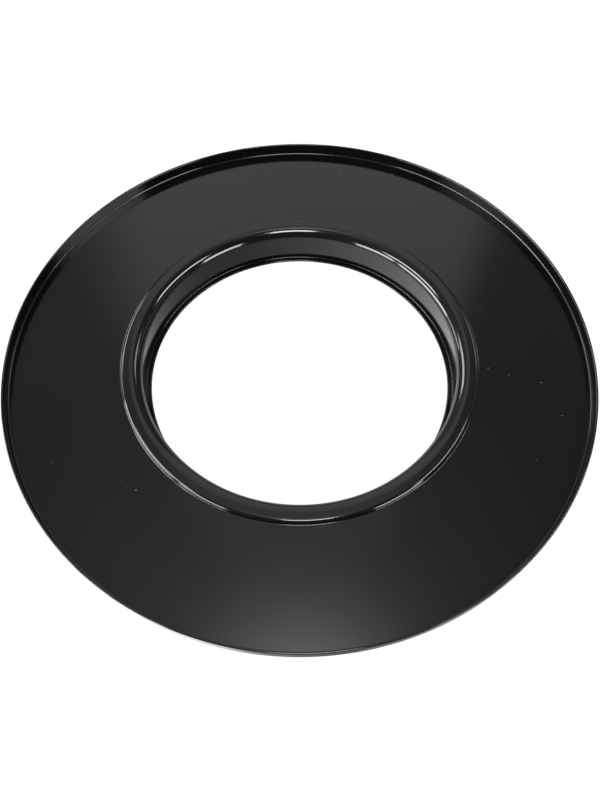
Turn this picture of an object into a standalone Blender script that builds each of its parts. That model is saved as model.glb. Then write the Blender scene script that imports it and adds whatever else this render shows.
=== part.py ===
"""Pipe wall flange: a pressed face plate, the collar that nests under its bead, and the ring that holds it there.

Metres, +Z up. The pipe runs along Z through the origin. Z is 0 at the collar's rear end, and the rim and
the bead face +Z. Every piece is one strip of sheet whose section is spun a full turn about the pipe's axis.
"""

from math import acos, ceil, cos, pi, radians, sin, tan

import bmesh
import bpy
from mathutils import Matrix, Vector

# --- Driving dimensions ---
PIPE_DIAMETER = 0.150
PIPE_CLEARANCE = 0.0025  # radial, between the pipe and the edge of the collar's lip
FLANGE_DIAMETER = 0.290
SHEET = 0.0011  # steel sheet with its enamel, the same for all three pieces

RIM_HEIGHT = 0.0066  # above the plate's face
RIM_BEND = 0.0008

COLLAR_DEPTH = 0.0207  # from the plate's face back to the collar's rear end
LIP_WIDTH = 0.0028  # from the collar's wall in to the lip's edge
LIP_BEND = 0.0005

BEAD_HEIGHT = 0.002  # above the plate's face
BEAD_TOP_WIDTH = 0.0026  # flat land between the roll and the shoulder of the bead
BEAD_SHOULDER_BEND = 0.0019
BEAD_FOOT_BEND = 0.0006  # where the bead steps up from the plate
BEAD_STEP_SLOPE = radians(72)
BEAD_ROLL_BEND = 0.0058  # where the bead rolls over into the opening
BEAD_ROLL_TURN = radians(72)
ROLL_LAND = 0.0003  # straight sheet past the roll, up to the plate's inner edge

RING_WIDTH = 0.016  # of the retaining ring, from its inner to its outer edge
RING_BEND = 0.0012
RING_JOGGLE_INSET = 0.0007  # from the corner of the bead's shoulder in to where the ring's raised part starts

FIT_GAP = 0.0003  # between two pieces that touch

# --- Sizes that follow from them ---
LIP_RADIUS = PIPE_DIAMETER / 2 + PIPE_CLEARANCE
COLLAR_RADIUS = LIP_RADIUS + LIP_WIDTH  # inner side of the collar's wall
COLLAR_BEND = BEAD_ROLL_BEND - SHEET - FIT_GAP  # concentric with the plate's roll, one gap inside it
ROLL_CENTRE_RADIUS = COLLAR_RADIUS + COLLAR_BEND
SHOULDER_CORNER = ROLL_CENTRE_RADIUS + BEAD_TOP_WIDTH + BEAD_SHOULDER_BEND * tan(BEAD_STEP_SLOPE / 2)
FOOT_CORNER = SHOULDER_CORNER + BEAD_HEIGHT / tan(BEAD_STEP_SLOPE)
COLLAR_FLANGE_Z = BEAD_HEIGHT - SHEET - FIT_GAP  # front of the collar's flange, under the bead's flat land
RING_SEAT_Z = -SHEET - FIT_GAP  # front of the retaining ring, behind the plate
RING_LIFT_Z = COLLAR_FLANGE_Z - SHEET - FIT_GAP  # front of the ring's raised part, behind the collar's flange

# --- Fineness of the round shapes ---
TURN_STEPS = 72
ARC_STEP = pi / 8  # largest turn between two points of a bend
NOSE_STEPS = 3  # straight stretches round a sheet's edge

# Each piece's colour, roughness and metallic value. The ring shows only from behind and has no gloss coat.
GLOSS_ENAMEL = (0.006, 0.006, 0.0065), 0.14, 0.0
GROUND_COAT = (0.020, 0.020, 0.021), 0.48, 0.0


def clear_scene():
    for old in list(bpy.data.objects):
        bpy.data.objects.remove(old)


def make_material(name, colour, roughness, metallic):
    material = bpy.data.materials.new(name + "_enamel")
    material.use_nodes = True
    shader = material.node_tree.nodes["Principled BSDF"]
    shader.inputs["Base Color"].default_value = (*colour, 1.0)
    shader.inputs["Roughness"].default_value = roughness
    shader.inputs["Metallic"].default_value = metallic
    return material


def turned(vector, angle):
    return Matrix.Rotation(angle, 2) @ vector


def left_of(heading):
    """Unit vector a quarter turn anticlockwise from the heading."""
    return Vector((-heading.y, heading.x))


def bend_points(before, corner, after, radius):
    """(point, heading) pairs along the arc of this radius that rounds the corner."""
    arriving = (corner - before).normalized()
    leaving = (after - corner).normalized()
    turn = acos(max(-1.0, min(1.0, arriving.dot(leaving))))
    side = 1 if arriving.cross(leaving) > 0 else -1
    start = corner - arriving * radius * tan(turn / 2)
    centre = start + left_of(arriving) * radius * side
    steps = ceil(turn / ARC_STEP)
    angles = [side * turn * i / steps for i in range(steps + 1)]
    return [(centre + turned(start - centre, angle), turned(arriving, angle)) for angle in angles]


def nose_points(first, last):
    """Points between first and last on the half circle that rounds a sheet's edge, anticlockwise."""
    middle = (first + last) / 2
    return [middle + turned(first - middle, pi * i / NOSE_STEPS) for i in range(1, NOSE_STEPS)]


def sheet_section(corners, bends, thickness=SHEET):
    """Closed outline, in the (radius, height) plane, of a sheet bent along a line.

    corners are the ends and the corners of its front face, and bends the front face's radius at each
    corner between. The back face lies the sheet's thickness to the left of the way that the corners run.
    Each edge of the sheet is a half circle, which ends at the first or the last corner's height or radius.
    """
    corners = [Vector(corner) for corner in corners]
    first_heading = (corners[1] - corners[0]).normalized()
    last_heading = (corners[-1] - corners[-2]).normalized()
    line = [(corners[0] + first_heading * thickness / 2, first_heading)]
    for before, corner, after, radius in zip(corners, corners[1:], corners[2:], bends):
        line += bend_points(before, corner, after, radius)
    line.append((corners[-1] - last_heading * thickness / 2, last_heading))
    front = [point for point, _ in line]
    back = [point + left_of(heading) * thickness for point, heading in line]
    return front + nose_points(front[-1], back[-1]) + back[::-1] + nose_points(back[0], front[0])


def spin_piece(name, section, finish, parent):
    """One solid: the closed section turned a full circle about the pipe's axis."""
    mesh = bpy.data.meshes.new(name)
    spun = bmesh.new()
    ring = [spun.verts.new((radius, 0.0, height)) for radius, height in section]
    edges = [spun.edges.new(ends) for ends in zip(ring, ring[1:] + ring[:1])]
    bmesh.ops.spin(
        spun, geom=ring + edges, cent=(0, 0, 0), axis=(0, 0, 1), angle=2 * pi, steps=TURN_STEPS, use_merge=True
    )
    bmesh.ops.recalc_face_normals(spun, faces=spun.faces)
    spun.to_mesh(mesh)
    spun.free()
    mesh.shade_smooth()
    mesh.set_sharp_from_angle(angle=pi / 6)
    mesh.materials.append(make_material(name, *finish))
    piece = bpy.data.objects.new(name, mesh)
    piece.parent = parent
    bpy.context.scene.collection.objects.link(piece)
    return piece


def face_plate_section():
    """Rim, flat plate, step up to the bead, and the roll that turns the plate's inner edge into the opening."""
    rim_inner = FLANGE_DIAMETER / 2 - SHEET
    roll_tangent = BEAD_ROLL_BEND * tan(BEAD_ROLL_TURN / 2)
    roll_corner = Vector((ROLL_CENTRE_RADIUS - roll_tangent, BEAD_HEIGHT))
    roll_end = roll_corner - Vector((cos(BEAD_ROLL_TURN), sin(BEAD_ROLL_TURN))) * (
        roll_tangent + ROLL_LAND + SHEET / 2
    )
    return sheet_section(
        [
            (rim_inner, RIM_HEIGHT),
            (rim_inner, 0.0),
            (FOOT_CORNER, 0.0),
            (SHOULDER_CORNER, BEAD_HEIGHT),
            roll_corner,
            roll_end,
        ],
        [RIM_BEND, BEAD_FOOT_BEND, BEAD_SHOULDER_BEND, BEAD_ROLL_BEND],
    )


def collar_section():
    """Flange and roll that nest under the bead, the straight wall, and the lip turned in at its rear end."""
    lip_front = SHEET - COLLAR_DEPTH
    return sheet_section(
        [
            (ROLL_CENTRE_RADIUS + BEAD_TOP_WIDTH, COLLAR_FLANGE_Z),
            (COLLAR_RADIUS, COLLAR_FLANGE_Z),
            (COLLAR_RADIUS, lip_front),
            (LIP_RADIUS, lip_front),
        ],
        [COLLAR_BEND, LIP_BEND],
    )


def retaining_ring_section():
    """Flat ring welded behind the plate, whose inner part is raised to hold the collar's flange up."""
    inner = ROLL_CENTRE_RADIUS - SHEET / 2  # its rounded edge fits inside the collar's roll
    joggle_outer = FOOT_CORNER
    joggle_inner = SHOULDER_CORNER - RING_JOGGLE_INSET
    return sheet_section(
        [
            (inner + RING_WIDTH, RING_SEAT_Z),
            (joggle_outer, RING_SEAT_Z),
            (joggle_inner, RING_LIFT_Z),
            (inner, RING_LIFT_Z),
        ],
        [RING_BEND, RING_BEND],
    )


def main():
    clear_scene()
    # The sections' heights count from the plate's face, so this empty stands at the face.
    face = bpy.data.objects.new("plate_face", None)
    face.location.z = COLLAR_DEPTH
    bpy.context.scene.collection.objects.link(face)
    spin_piece("face_plate", face_plate_section(), GLOSS_ENAMEL, face)
    spin_piece("collar", collar_section(), GLOSS_ENAMEL, face)
    spin_piece("retaining_ring", retaining_ring_section(), GROUND_COAT, face)


main()
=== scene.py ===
"""Looks of a black enamelled pipe flange: finely spun sheet pieces, their enamel, and a pale studio.

Metres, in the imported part's own frame: Z runs along the pipe, 0 at the collar's rear end. Each piece is a
sheet section that a Geometry Nodes tree turns about the pipe's axis.
"""

from math import acos, ceil, cos, pi, radians, sin, tan

import bpy
from bpy.props import FloatProperty, FloatVectorProperty, IntProperty, PointerProperty
from mathutils import Matrix, Vector


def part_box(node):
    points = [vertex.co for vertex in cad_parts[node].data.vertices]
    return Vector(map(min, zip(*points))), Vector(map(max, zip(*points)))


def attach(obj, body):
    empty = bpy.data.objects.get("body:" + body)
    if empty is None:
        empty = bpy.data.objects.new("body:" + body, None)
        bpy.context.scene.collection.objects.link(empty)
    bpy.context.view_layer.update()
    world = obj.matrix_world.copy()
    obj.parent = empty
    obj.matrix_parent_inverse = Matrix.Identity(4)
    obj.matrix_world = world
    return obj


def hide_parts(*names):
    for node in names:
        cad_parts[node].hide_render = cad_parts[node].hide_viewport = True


bl_info = {
    "name": "Enamelled pipe flange",
    "version": (1, 0, 0),
    "blender": (4, 5, 0),
    "location": "3D View > Sidebar > Flange",
    "description": "Spins the flange's three sheet pieces, enamels them and sets up a pale studio",
    "category": "Object",
}

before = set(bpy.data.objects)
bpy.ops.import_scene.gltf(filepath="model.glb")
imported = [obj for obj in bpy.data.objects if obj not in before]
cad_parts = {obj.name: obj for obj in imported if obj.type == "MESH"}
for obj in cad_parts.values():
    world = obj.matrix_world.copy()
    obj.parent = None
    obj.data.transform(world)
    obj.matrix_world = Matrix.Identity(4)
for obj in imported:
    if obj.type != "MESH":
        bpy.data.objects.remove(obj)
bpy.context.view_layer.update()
PLATE_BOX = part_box("face_plate")
COLLAR_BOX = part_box("collar")
RING_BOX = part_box("retaining_ring")

FLANGE_RADIUS = PLATE_BOX[1].x
RIM_TOP_Z = PLATE_BOX[1].z
COLLAR_REAR_Z = COLLAR_BOX[0].z
RING_RADIUS = RING_BOX[1].x
RING_BACK_Z = RING_BOX[0].z

ARC_STEP = radians(4)
NOSE_STEPS = 12
SUPPORT = 0.00012  # how far from a bend the first extra point of a straight stretch lies


# --- Node building ---


class Value:
    """A node's output socket that takes part in arithmetic: each expression adds the Math nodes it needs."""

    def __init__(self, nodes, socket):
        self.nodes = nodes
        self.socket = socket

    def math(self, operation, *others, clamp=False):
        settings = {"operation": operation, "use_clamp": clamp}
        return self.nodes.add("ShaderNodeMath", settings, [self, *others])[0]

    def __add__(self, other):
        return self.math("ADD", other)

    __radd__ = __add__

    def __sub__(self, other):
        return self.math("SUBTRACT", other)

    def __rsub__(self, other):
        return self.nodes.add("ShaderNodeMath", {"operation": "SUBTRACT"}, [other, self])[0]

    def __mul__(self, other):
        return self.math("MULTIPLY", other)

    __rmul__ = __mul__

    def __truediv__(self, other):
        return self.math("DIVIDE", other)

    def rises(self, low, high):
        """0 below low, 1 above high, and a smooth rise between."""
        settings = {"interpolation_type": "SMOOTHSTEP"}
        return self.nodes.add("ShaderNodeMapRange", settings, [self, low, high, 0.0, 1.0])[0]

    def falls(self, low, high):
        return 1 - self.rises(low, high)


class Nodes:
    """Adds nodes to one tree."""

    def __init__(self, tree):
        self.tree = tree

    def add(self, kind, settings=None, inputs=()):
        """A new node's enabled outputs. inputs go by position in a list, or by name in a dict."""
        node = self.tree.nodes.new(kind)
        for name, value in (settings or {}).items():
            setattr(node, name, value)
        named = inputs.items() if isinstance(inputs, dict) else enumerate(inputs)
        for key, value in named:
            if value is None:
                continue
            if isinstance(value, Value):
                self.tree.links.new(value.socket, node.inputs[key])
            else:
                node.inputs[key].default_value = value
        return [Value(self, output) for output in node.outputs if output.enabled]


def group_tree(name, inputs):
    """A new Geometry Nodes tree with these named inputs, its Nodes, and its inputs as Values by name."""
    tree = bpy.data.node_groups.new(name, "GeometryNodeTree")
    tree.interface.new_socket("Geometry", in_out="INPUT", socket_type="NodeSocketGeometry")
    tree.interface.new_socket("Geometry", in_out="OUTPUT", socket_type="NodeSocketGeometry")
    for socket, kind in inputs.items():
        tree.interface.new_socket(socket, in_out="INPUT", socket_type=kind)
    nodes = Nodes(tree)
    sockets = {value.socket.name: value for value in nodes.add("NodeGroupInput") if value.socket.name}
    return tree, nodes, sockets


def end_tree(nodes, geometry, material):
    realized = nodes.add("GeometryNodeRealizeInstances", None, [geometry])[0]
    finished = nodes.add("GeometryNodeSetMaterial", None, {"Geometry": realized, "Material": material})[0]
    nodes.add("NodeGroupOutput", None, [finished])


def evaluated_piece(name, mesh, tree, values):
    """A plain mesh object made by running the tree once on the mesh."""
    piece = bpy.data.objects.new(name, mesh)
    bpy.context.scene.collection.objects.link(piece)
    modifier = piece.modifiers.new(tree.name, "NODES")
    modifier.node_group = tree
    for item in tree.interface.items_tree:
        if item.in_out == "INPUT" and item.name in values:
            modifier[item.identifier] = values[item.name]
    depsgraph = bpy.context.evaluated_depsgraph_get()
    made = bpy.data.meshes.new_from_object(piece.evaluated_get(depsgraph), depsgraph=depsgraph)
    piece.modifiers.clear()
    piece.data = made
    made.name = name
    bpy.data.meshes.remove(mesh)
    return piece


# --- Sheet sections ---


def turned(vector, angle):
    return Matrix.Rotation(angle, 2) @ vector


def left_of(heading):
    """Unit vector a quarter turn anticlockwise from the heading."""
    return Vector((-heading.y, heading.x))


def bend_points(before, corner, after, radius):
    """(point, heading) pairs along the arc of this radius that rounds the corner."""
    arriving = (corner - before).normalized()
    leaving = (after - corner).normalized()
    turn = acos(max(-1.0, min(1.0, arriving.dot(leaving))))
    side = 1 if arriving.cross(leaving) > 0 else -1
    start = corner - arriving * radius * tan(turn / 2)
    centre = start + left_of(arriving) * radius * side
    steps = ceil(turn / ARC_STEP)
    angles = [side * turn * i / steps for i in range(steps + 1)]
    return [(centre + turned(start - centre, angle), turned(arriving, angle)) for angle in angles]


def nose_points(first, last):
    """Points between first and last on the half circle that rounds a sheet's edge, anticlockwise."""
    middle = (first + last) / 2
    return [middle + turned(first - middle, pi * i / NOSE_STEPS) for i in range(1, NOSE_STEPS)]


def straight_points(start, end, spacing):
    """Points inside a straight stretch: one close to each end, to keep its shading flat, and some between."""
    run = end[0] - start[0]
    if run.length < 3 * SUPPORT:
        return []
    steps = max(1, ceil(run.length / spacing))
    along = [SUPPORT] + [run.length * i / steps for i in range(1, steps)] + [run.length - SUPPORT]
    return [(start[0] + run.normalized() * distance, end[1]) for distance in along]


def sheet_section(corners, bends, thickness, spacing=0.008):
    """Closed outline, in the (radius, height) plane, of a sheet bent along a line.

    corners are the ends and the corners of its front face, and bends the front face's radius at each
    corner between. The back face lies the sheet's thickness to the left of the way that the corners run.
    """
    corners = [Vector(corner) for corner in corners]
    first_heading = (corners[1] - corners[0]).normalized()
    last_heading = (corners[-1] - corners[-2]).normalized()
    line = [(corners[0] + first_heading * thickness / 2, first_heading)]
    for before, corner, after, radius in zip(corners, corners[1:], corners[2:], bends):
        bend = bend_points(before, corner, after, radius)
        line += straight_points(line[-1], bend[0], spacing) + bend
    end = (corners[-1] - last_heading * thickness / 2, last_heading)
    line += straight_points(line[-1], end, spacing) + [end]
    front = [point for point, _ in line]
    back = [point + left_of(heading) * thickness for point, heading in line]
    return front + nose_points(front[-1], back[-1]) + back[::-1] + nose_points(back[0], front[0])


# --- Materials ---


def new_material(name):
    material = bpy.data.materials.new(name)
    material.use_nodes = True
    shader = material.node_tree.nodes["Principled BSDF"]
    return material, Nodes(material.node_tree), shader


def enamel_material(name, finish, gloss):
    """Black enamel on sheet steel: orange peel, a slight sheet wave, dust specks and a chipped rim edge."""
    material, nodes, shader = new_material(name)
    place = nodes.add("ShaderNodeTexCoord")[3]
    split = nodes.add("ShaderNodeSeparateXYZ", None, [place])
    radius = nodes.add("ShaderNodeVectorMath", {"operation": "LENGTH"}, [
        nodes.add("ShaderNodeVectorMath", {"operation": "MULTIPLY"}, [place, (1.0, 1.0, 0.0)])[0]
    ])[0]

    def noise(scale, detail=2.0, roughness=0.5):
        return nodes.add("ShaderNodeTexNoise", None, {
            "Vector": place, "Scale": scale, "Detail": detail, "Roughness": roughness
        })[0]

    peel = noise(1 / finish.peel_size, 3.0, 0.55)
    wave = noise(1 / finish.wave_size, 1.0, 0.4)
    height = peel * finish.peel_height * gloss.peel + wave * finish.wave_height
    bump = nodes.add("ShaderNodeBump", None, {"Strength": 1.0, "Distance": 1.0, "Height": height})[0]

    cells = nodes.add("ShaderNodeTexVoronoi", {"feature": "F1"}, {
        "Vector": place, "Scale": 1 / finish.speck_spacing
    })
    chance = nodes.add("ShaderNodeSeparateColor", None, [cells[1]])
    specks = cells[0].falls(0.022, 0.042) * chance[0].rises(0.68, 0.70) * chance[1]

    haze = noise(9.0, 4.0, 0.6)
    film = noise(60.0, 3.0, 0.6)
    roughness = gloss.roughness + (haze - 0.5) * gloss.haze + (film - 0.5) * gloss.haze * 0.5
    roughness = (roughness + specks * 0.5).math("MAXIMUM", 0.02, clamp=True)

    near_top = split[2].rises(RIM_TOP_Z - 0.0009, RIM_TOP_Z - 0.0002)
    near_outside = radius.rises(FLANGE_RADIUS - 0.0009, FLANGE_RADIUS - 0.0004)
    edge = near_top * near_outside
    chips = noise(420.0, 4.0, 0.7).rises(0.66, 0.70) * noise(14.0, 1.0).rises(0.50, 0.62) * edge

    tone = noise(22.0, 2.0)
    colour = nodes.add("ShaderNodeMix", {"data_type": "RGBA"}, [
        tone, None, None, None, None, None, (*finish.enamel, 1.0), (*finish.enamel_light, 1.0)
    ])[0]
    colour = nodes.add("ShaderNodeMix", {"data_type": "RGBA"}, [
        specks, None, None, None, None, None, colour, (*finish.dust, 1.0)
    ])[0]
    colour = nodes.add("ShaderNodeMix", {"data_type": "RGBA"}, [
        chips, None, None, None, None, None, colour, (*finish.chip, 1.0)
    ])[0]
    links = material.node_tree.links
    links.new(colour.socket, shader.inputs["Base Color"])
    links.new(roughness.socket, shader.inputs["Roughness"])
    links.new(bump.socket, shader.inputs["Normal"])
    shader.inputs["IOR"].default_value = 1.5
    return material


class Gloss:
    """How one piece's enamel differs from the others."""

    def __init__(self, roughness, haze, peel):
        self.roughness = roughness
        self.haze = haze
        self.peel = peel


PLATE_GLOSS = Gloss(0.10, 0.03, 1.0)
COLLAR_GLOSS = Gloss(0.13, 0.04, 1.3)
RING_GLOSS = Gloss(0.46, 0.12, 4.0)


# --- Settings that a user would change ---


class FlangeSizes(bpy.types.PropertyGroup):
    sheet: FloatProperty(
        name="Sheet", description="Thickness of the enamelled sheet",
        default=0.0011, subtype="DISTANCE", unit="LENGTH",
    )
    rim_bend: FloatProperty(
        name="Rim bend", description="Inner radius where the plate turns up into its rim",
        default=0.0008, subtype="DISTANCE", unit="LENGTH",
    )
    lip_radius: FloatProperty(
        name="Lip radius", description="Radius of the opening in the collar's lip",
        default=0.0775, subtype="DISTANCE", unit="LENGTH",
    )
    lip_width: FloatProperty(
        name="Lip width", description="From the collar's wall in to the lip's edge",
        default=0.0028, subtype="DISTANCE", unit="LENGTH",
    )
    lip_bend: FloatProperty(
        name="Lip bend", description="Inner radius between the collar's wall and its lip",
        default=0.0005, subtype="DISTANCE", unit="LENGTH",
    )
    bead_height: FloatProperty(
        name="Bead height", description="Height of the bead above the plate's face",
        default=0.002, subtype="DISTANCE", unit="LENGTH",
    )
    bead_top: FloatProperty(
        name="Bead top", description="Width of the bead's flat top",
        default=0.0026, subtype="DISTANCE", unit="LENGTH",
    )
    shoulder_bend: FloatProperty(
        name="Shoulder bend", description="Radius at the top of the bead's step",
        default=0.0019, subtype="DISTANCE", unit="LENGTH",
    )
    foot_bend: FloatProperty(
        name="Foot bend", description="Radius where the bead's step meets the plate",
        default=0.0006, subtype="DISTANCE", unit="LENGTH",
    )
    step_slope: FloatProperty(
        name="Step slope", description="How steeply the bead steps up from the plate",
        default=radians(72), subtype="ANGLE", unit="ROTATION",
    )
    roll_bend: FloatProperty(
        name="Roll bend", description="Radius where the bead rolls over into the opening",
        default=0.0058, subtype="DISTANCE", unit="LENGTH",
    )
    roll_turn: FloatProperty(
        name="Roll turn", description="How far the bead rolls over",
        default=radians(72), subtype="ANGLE", unit="ROTATION",
    )
    roll_land: FloatProperty(
        name="Roll land", description="Straight sheet past the roll, up to its edge",
        default=0.0003, subtype="DISTANCE", unit="LENGTH",
    )
    ring_bend: FloatProperty(
        name="Ring bend", description="Radius of both bends of the retaining ring",
        default=0.0012, subtype="DISTANCE", unit="LENGTH",
    )
    joggle_inset: FloatProperty(
        name="Joggle inset", description="From the bead's shoulder in to where the ring's raised part starts",
        default=0.0007, subtype="DISTANCE", unit="LENGTH",
    )
    gap: FloatProperty(
        name="Fit gap", description="Gap between two pieces that touch", default=0.0003, subtype="DISTANCE",
        unit="LENGTH",
    )
    turn_segments: IntProperty(
        name="Turn segments", description="Segments of a full turn of the visible pieces", default=360, min=24
    )

    @property
    def ring_seat_z(self):
        return RING_BACK_Z + self.sheet

    @property
    def face_z(self):
        return self.ring_seat_z + self.gap + self.sheet

    @property
    def collar_radius(self):
        return self.lip_radius + self.lip_width

    @property
    def collar_bend(self):
        return self.roll_bend - self.sheet - self.gap

    @property
    def roll_centre(self):
        return self.collar_radius + self.collar_bend

    @property
    def shoulder_corner(self):
        return self.roll_centre + self.bead_top + self.shoulder_bend * tan(self.step_slope / 2)

    @property
    def foot_corner(self):
        return self.shoulder_corner + self.bead_height / tan(self.step_slope)

    @property
    def collar_flange_z(self):
        return self.face_z + self.bead_height - self.sheet - self.gap


class FlangeFinish(bpy.types.PropertyGroup):
    enamel: FloatVectorProperty(
        name="Enamel", description="Colour of the enamel", subtype="COLOR", default=(0.0016, 0.0016, 0.0014)
    )
    enamel_light: FloatVectorProperty(
        name="Enamel, lighter", description="Colour of the enamel where its coat is thinner", subtype="COLOR",
        default=(0.0029, 0.0029, 0.0025),
    )
    dust: FloatVectorProperty(
        name="Dust", description="Colour of the dust specks", subtype="COLOR", default=(0.13, 0.13, 0.12)
    )
    chip: FloatVectorProperty(
        name="Chip", description="Colour that shows where the rim's edge is chipped", subtype="COLOR",
        default=(0.45, 0.46, 0.47),
    )
    peel_size: FloatProperty(
        name="Peel size", description="Size of the orange peel",
        default=0.0035, subtype="DISTANCE", unit="LENGTH",
    )
    peel_height: FloatProperty(
        name="Peel height", description="Height of the orange peel", default=0.0000020, precision=7,
        subtype="DISTANCE", unit="LENGTH",
    )
    wave_size: FloatProperty(
        name="Wave size", description="Size of the sheet's slight waves",
        default=0.075, subtype="DISTANCE", unit="LENGTH",
    )
    wave_height: FloatProperty(
        name="Wave height", description="Height of the sheet's slight waves", default=0.00008, precision=6,
        subtype="DISTANCE", unit="LENGTH",
    )
    speck_spacing: FloatProperty(
        name="Speck spacing", description="Mean distance between places where dust can sit",
        default=0.008, subtype="DISTANCE", unit="LENGTH",
    )


# --- Geometry trees ---


def spin_tree():
    """Turns a closed section, drawn as edges with radius along X and height along Y, about the Z axis."""
    tree, nodes, given = group_tree("spin_section", {
        "Segments": "NodeSocketInt", "Axis Radius": "NodeSocketFloat", "Material": "NodeSocketMaterial"
    })
    outline = nodes.add("GeometryNodeMeshToCurve", None, {"Mesh": given["Geometry"]})[0]
    path = nodes.add("GeometryNodeCurvePrimitiveCircle", {"mode": "RADIUS"}, {
        "Resolution": given["Segments"], "Radius": given["Axis Radius"]
    })[0]
    skin = nodes.add("GeometryNodeCurveToMesh", None, {"Curve": path, "Profile Curve": outline})[0]
    smooth = nodes.add("GeometryNodeSetShadeSmooth", None, {"Geometry": skin, "Shade Smooth": True})[0]
    end_tree(nodes, smooth, given["Material"])
    return tree


def outline_mesh(name, section, axis_radius):
    """The section as a loop of edges, as Curve to Mesh wants it: X away from the axis and Y down it."""
    mesh = bpy.data.meshes.new(name)
    points = [(radius - axis_radius, -height, 0.0) for radius, height in reversed(section)]
    count = len(points)
    mesh.from_pydata(points, [(i, (i + 1) % count) for i in range(count)], [])
    return mesh


def spun_piece(name, section, segments, material):
    axis_radius = 0.001
    values = {"Segments": segments, "Axis Radius": axis_radius, "Material": material}
    return evaluated_piece(name, outline_mesh(name + "_section", section, axis_radius), spin_tree(), values)


def finish_piece(piece, node):
    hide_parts(node)
    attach(piece, "root")


# --- Operators ---


class FLANGE_OT_face_plate(bpy.types.Operator):
    """Spin the face plate: rim, flat plate, step up to the bead and the roll into the opening"""

    bl_idname = "flange.face_plate"
    bl_label = "Face plate"

    def execute(self, context):
        sizes, finish = context.scene.flange_sizes, context.scene.flange_finish
        rim_inner = FLANGE_RADIUS - sizes.sheet
        bead_z = sizes.face_z + sizes.bead_height
        tangent = sizes.roll_bend * tan(sizes.roll_turn / 2)
        roll_corner = Vector((sizes.roll_centre - tangent, bead_z))
        roll_end = roll_corner - Vector((cos(sizes.roll_turn), sin(sizes.roll_turn))) * (
            tangent + sizes.roll_land + sizes.sheet / 2
        )
        section = sheet_section(
            [
                (rim_inner, RIM_TOP_Z),
                (rim_inner, sizes.face_z),
                (sizes.foot_corner, sizes.face_z),
                (sizes.shoulder_corner, bead_z),
                roll_corner,
                roll_end,
            ],
            [sizes.rim_bend, sizes.foot_bend, sizes.shoulder_bend, sizes.roll_bend],
            sizes.sheet,
        )
        material = enamel_material("gloss_enamel_plate", finish, PLATE_GLOSS)
        piece = spun_piece("face_plate_enamelled", section, sizes.turn_segments, material)
        finish_piece(piece, "face_plate")
        return {"FINISHED"}


class FLANGE_OT_collar(bpy.types.Operator):
    """Spin the collar: its flange and roll under the bead, its wall and its lip"""

    bl_idname = "flange.collar"
    bl_label = "Collar"

    def execute(self, context):
        sizes, finish = context.scene.flange_sizes, context.scene.flange_finish
        lip_z = COLLAR_REAR_Z + sizes.sheet
        section = sheet_section(
            [
                (sizes.roll_centre + sizes.bead_top, sizes.collar_flange_z),
                (sizes.collar_radius, sizes.collar_flange_z),
                (sizes.collar_radius, lip_z),
                (sizes.lip_radius, lip_z),
            ],
            [sizes.collar_bend, sizes.lip_bend],
            sizes.sheet,
        )
        material = enamel_material("gloss_enamel_collar", finish, COLLAR_GLOSS)
        piece = spun_piece("collar_enamelled", section, sizes.turn_segments, material)
        finish_piece(piece, "collar")
        return {"FINISHED"}


class FLANGE_OT_retaining_ring(bpy.types.Operator):
    """Spin the ring behind the plate that holds the collar's flange up under the bead"""

    bl_idname = "flange.retaining_ring"
    bl_label = "Retaining ring"

    def execute(self, context):
        sizes, finish = context.scene.flange_sizes, context.scene.flange_finish
        lift_z = sizes.collar_flange_z - sizes.sheet - sizes.gap
        section = sheet_section(
            [
                (RING_RADIUS, sizes.ring_seat_z),
                (sizes.foot_corner, sizes.ring_seat_z),
                (sizes.shoulder_corner - sizes.joggle_inset, lift_z),
                (sizes.roll_centre - sizes.sheet / 2, lift_z),
            ],
            [sizes.ring_bend, sizes.ring_bend],
            sizes.sheet,
        )
        material = enamel_material("ground_coat_ring", finish, RING_GLOSS)
        piece = spun_piece("retaining_ring_coated", section, sizes.turn_segments, material)
        finish_piece(piece, "retaining_ring")
        return {"FINISHED"}


def direction_of(azimuth, elevation):
    """Unit vector towards this bearing in degrees: azimuth 0 is +Y and 90 is +X."""
    flat = cos(radians(elevation))
    return Vector((
        sin(radians(azimuth)) * flat, cos(radians(azimuth)) * flat, sin(radians(elevation))
    ))


def softbox(name, target, azimuth, elevation, width, height, radiance, distance=2.5):
    """A rectangular light that faces the target. width, which runs level, and height are in degrees."""
    away = direction_of(azimuth, elevation)
    lamp = bpy.data.lights.new(name, "AREA")
    lamp.shape = "RECTANGLE"
    lamp.size = 2 * distance * tan(radians(width) / 2)
    lamp.size_y = 2 * distance * tan(radians(height) / 2)
    lamp.energy = radiance * pi * lamp.size * lamp.size_y
    light = bpy.data.objects.new(name, lamp)
    turn = away.to_track_quat("Z", "Y").to_matrix().to_4x4()
    light.matrix_world = Matrix.Translation(target + away * distance) @ turn
    light.visible_camera = False
    bpy.context.scene.collection.objects.link(light)


class FLANGE_OT_stage(bpy.types.Operator):
    """Lay the pale floor, hang the studio's lights and place the camera"""

    bl_idname = "flange.stage"
    bl_label = "Studio"

    def execute(self, context):
        target = Vector((0.0, 0.0, context.scene.flange_sizes.face_z))
        lay_floor()
        light_room(context.scene)
        hang_lights(target)
        place_camera(context.scene, target)
        context.scene.view_settings.view_transform = "Standard"
        return {"FINISHED"}


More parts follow.
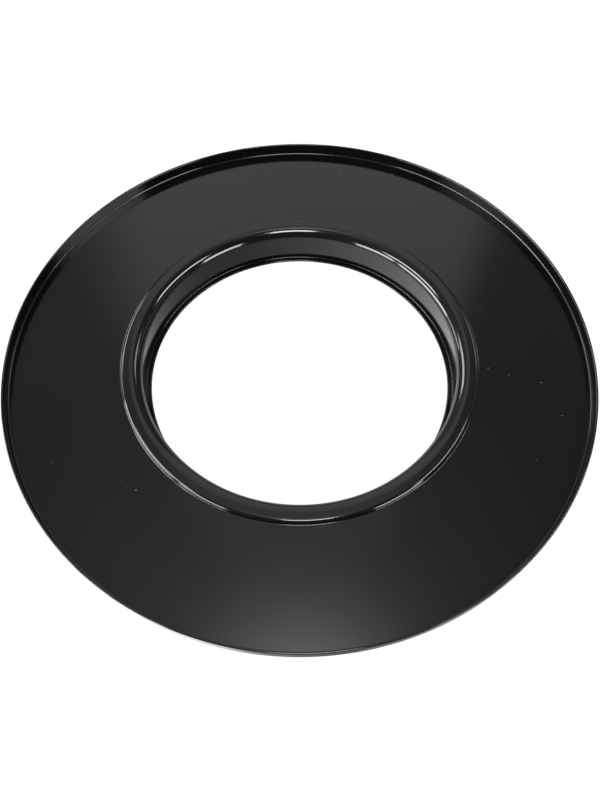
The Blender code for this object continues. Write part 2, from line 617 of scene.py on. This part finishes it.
def lay_floor():
    """A pale sheet under the flange. The enamel mirrors the studio's walls instead, as over a light table."""
    half_side, gap_below = 6.0, 0.0002
    corners = [(-1, -1), (1, -1), (1, 1), (-1, 1)]
    mesh = bpy.data.meshes.new("floor")
    mesh.from_pydata([(x * half_side, y * half_side, 0) for x, y in corners], [], [(0, 1, 2, 3)])
    floor = bpy.data.objects.new("floor", mesh)
    floor.location.z = COLLAR_REAR_Z - gap_below
    floor.visible_glossy = False
    bpy.context.scene.collection.objects.link(floor)
    material, _, shader = new_material("pale_floor")
    shader.inputs["Base Color"].default_value = (0.06, 0.06, 0.06, 1.0)
    shader.inputs["Roughness"].default_value = 0.9
    shader.inputs["Emission Color"].default_value = (1.0, 1.0, 1.0, 1.0)
    shader.inputs["Emission Strength"].default_value = 0.92
    mesh.materials.append(material)


def light_room(scene):
    """The room behind the lights: white to the eye, and in reflections grey walls, a far panel and a glow.

    Bearings are in degrees, as in direction_of.
    """
    world = bpy.data.worlds.new("studio_room")
    world.use_nodes = True
    scene.world = world
    nodes = Nodes(world.node_tree)
    background = world.node_tree.nodes["Background"]
    direction = nodes.add("ShaderNodeTexCoord")[0]
    side, depth, up = nodes.add("ShaderNodeSeparateXYZ", None, [direction])
    azimuth = side.math("ARCTAN2", depth) * (180 / pi)
    elevation = up.math("ARCSINE") * (180 / pi)
    flat = up.math("ARCSINE").math("COSINE").math("MAXIMUM", 0.01)
    right, ahead = side / flat, depth / flat

    far_shade = 0.6 * azimuth.rises(-40, -16) * azimuth.falls(10, 36)
    near_shade = 0.55 * ahead.falls(-0.9, -0.5) * elevation.falls(-75, -60)
    below = (1.02 + 0.25 * ahead - 0.60 * right) * (1 - far_shade) * (1 - near_shade)
    walls = 0.20 + 0.08 * ahead - 0.10 * right
    panel = azimuth.rises(-27, -16) * azimuth.falls(18, 23) * elevation.falls(52, 80)
    ceiling = elevation.rises(56, 80)
    glow_spread = radians(6.7)
    off_axis = nodes.add("ShaderNodeVectorMath", {"operation": "DOT_PRODUCT"}, [
        direction, direction_of(3, 85)
    ])[0].math("ARCCOSINE") * (1 / glow_spread)
    glow = (0 - off_axis * off_axis).math("EXPONENT")
    above = walls + 0.64 * panel + 0.26 * ceiling + 3.2 * glow
    over = elevation.rises(-3, 3)
    level = above * over + below * (1 - over)

    seen = nodes.add("ShaderNodeLightPath")[0]
    strength = seen + (1 - seen) * level
    world.node_tree.links.new(strength.socket, background.inputs["Strength"])
    background.inputs["Color"].default_value = (1.0, 1.0, 1.0, 1.0)


def hang_lights(target):
    """Each row is a light's name, azimuth, elevation, width and height in degrees, and radiance."""
    lights = (
        ("box_by_camera", 174, 64, 16, 13, 22),
        ("box_right", 95, 44, 30, 9, 16),
        ("box_right_low", 82, 16, 52, 16, 0.4),
        ("box_far_right", 46, 37, 13, 12, 4.5),
        ("box_left", 258, 41, 32, 9, 19),
        ("window_left", 263, 9, 40, 18, 17),
        ("window_left_near", 227, 11, 24, 20, 15),
        ("window_right_near", 132, 11, 24, 20, 14),
        ("window_left_far", 293, 8, 16, 18, 5),
        ("box_far_left", 314, 31, 19, 14, 10),
    )
    for name, *place_and_size, radiance in lights:
        softbox(name, target, *place_and_size, radiance)


def place_camera(scene, target):
    distance, tilt, rise, aside = 0.3552, radians(60.74), 0.0229, 0.0002
    forward = Vector((0.0, cos(tilt), -sin(tilt)))
    upward = Vector((0.0, sin(tilt), cos(tilt)))
    camera = bpy.data.objects.new("camera", bpy.data.cameras.new("camera"))
    place = target - forward * distance - upward * rise + Vector((aside, 0.0, 0.0))
    turn = Matrix((Vector((1.0, 0.0, 0.0)), upward, -forward)).transposed().to_4x4()
    camera.matrix_world = Matrix.Translation(place) @ turn
    camera.data.sensor_width = 36.0
    camera.data.lens = 31.8
    camera.data.clip_start, camera.data.clip_end = 0.01, 50.0
    scene.collection.objects.link(camera)
    scene.camera = camera


# --- Panel and registration ---


class FLANGE_PT_panel(bpy.types.Panel):
    """Lists the flange's sizes, finish and operators"""

    bl_idname = "FLANGE_PT_panel"
    bl_label = "Flange"
    bl_space_type = "VIEW_3D"
    bl_region_type = "UI"
    bl_category = "Flange"

    def draw(self, context):
        for group in (context.scene.flange_sizes, context.scene.flange_finish):
            box = self.layout.box()
            for name in group.__annotations__:
                box.prop(group, name)
        for operator in OPERATORS:
            self.layout.operator(operator.bl_idname)


OPERATORS = (FLANGE_OT_face_plate, FLANGE_OT_collar, FLANGE_OT_retaining_ring, FLANGE_OT_stage)
CLASSES = (FlangeSizes, FlangeFinish, *OPERATORS, FLANGE_PT_panel)


def register():
    for cls in CLASSES:
        bpy.utils.register_class(cls)
    bpy.types.Scene.flange_sizes = PointerProperty(type=FlangeSizes)
    bpy.types.Scene.flange_finish = PointerProperty(type=FlangeFinish)


def unregister():
    del bpy.types.Scene.flange_finish
    del bpy.types.Scene.flange_sizes
    for cls in reversed(CLASSES):
        bpy.utils.unregister_class(cls)


def main():
    register()
    bpy.ops.flange.face_plate()
    bpy.ops.flange.collar()
    bpy.ops.flange.retaining_ring()
    bpy.ops.flange.stage()


if __name__ == "__main__":
    main()
